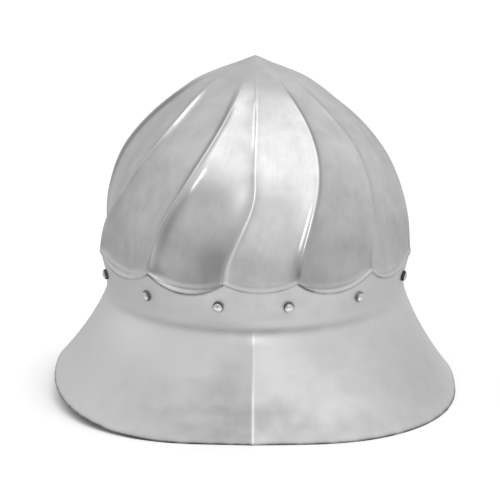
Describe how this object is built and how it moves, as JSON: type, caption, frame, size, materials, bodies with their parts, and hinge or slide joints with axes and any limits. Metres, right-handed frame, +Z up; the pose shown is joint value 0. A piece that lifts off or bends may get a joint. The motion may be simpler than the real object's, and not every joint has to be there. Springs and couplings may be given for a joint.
{
  "type": "kettle helmet",
  "caption": "Open-faced steel kettle helmet: pointed crown with swirling flutes ending in a scalloped lip over a riveted collar, and a wide keeled brim sloping down all round.",
  "frame": {"origin": "centre of the overall box on the plane of the brim's edge, under the crown's axis", "axes": "+Z up along the crown's axis, -Y towards the front the wearer faces (the keel), +X towards the wearer's left"},
  "size_m": [0.2806, 0.3114, 0.2318],
  "materials": {
    "steel": "satin, hand polished",
    "rivet_steel": "polished"
  },
  "bodies": {
    "root": {"helmet_shell": "steel", "rivet_01": "rivet_steel", "rivet_02": "rivet_steel", "rivet_03": "rivet_steel", "rivet_04": "rivet_steel", "rivet_05": "rivet_steel", "rivet_06": "rivet_steel", "rivet_07": "rivet_steel", "rivet_08": "rivet_steel", "rivet_09": "rivet_steel", "rivet_10": "rivet_steel", "rivet_11": "rivet_steel", "rivet_12": "rivet_steel"}
  },
  "joints": []
}
